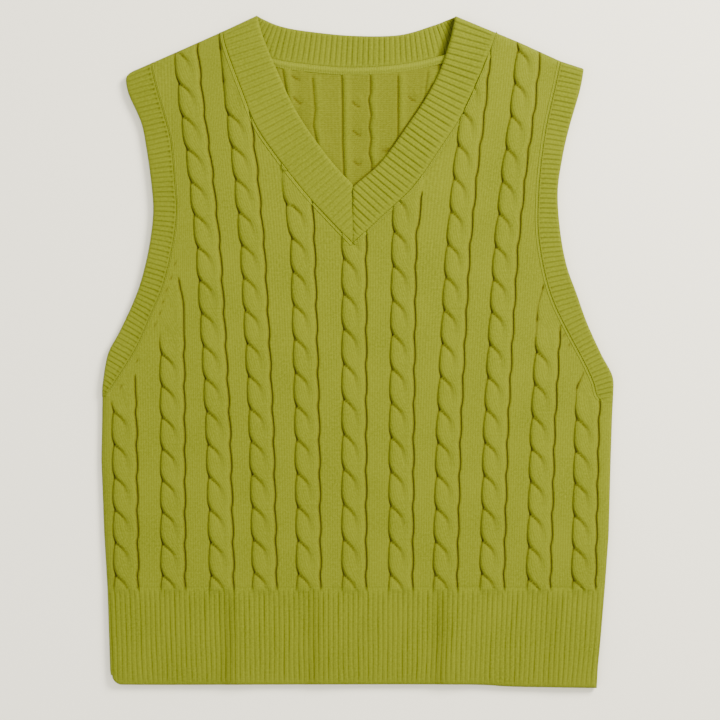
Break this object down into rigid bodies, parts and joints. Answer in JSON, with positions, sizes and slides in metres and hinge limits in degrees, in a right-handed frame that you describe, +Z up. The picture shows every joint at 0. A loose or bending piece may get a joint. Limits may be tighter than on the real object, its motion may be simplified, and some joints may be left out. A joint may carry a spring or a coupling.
{
  "type": "knitted sweater vest",
  "caption": "Sleeveless V-neck pullover in cable knit with ribbed neckband, armbands and hem, laid flat with its front up.",
  "frame": {"origin": "on the surface that the vest lies on, under the middle of its outline", "axes": "+Z up, out of the front; +Y from the hem to the neck; +X to the right as the front is looked at"},
  "size_m": [0.4413, 0.5794, 0.0084],
  "materials": {
    "panel_knit": "matte fine-gauge cable knit, olive lime yarn",
    "rib_knit": "matte ribbed knit, olive lime yarn"
  },
  "bodies": {
    "root": {"front_panel": "panel_knit", "back_panel": "panel_knit", "front_hem": "rib_knit", "back_hem": "rib_knit", "neckband": "rib_knit", "armband_left": "rib_knit", "armband_right": "rib_knit"}
  },
  "joints": []
}
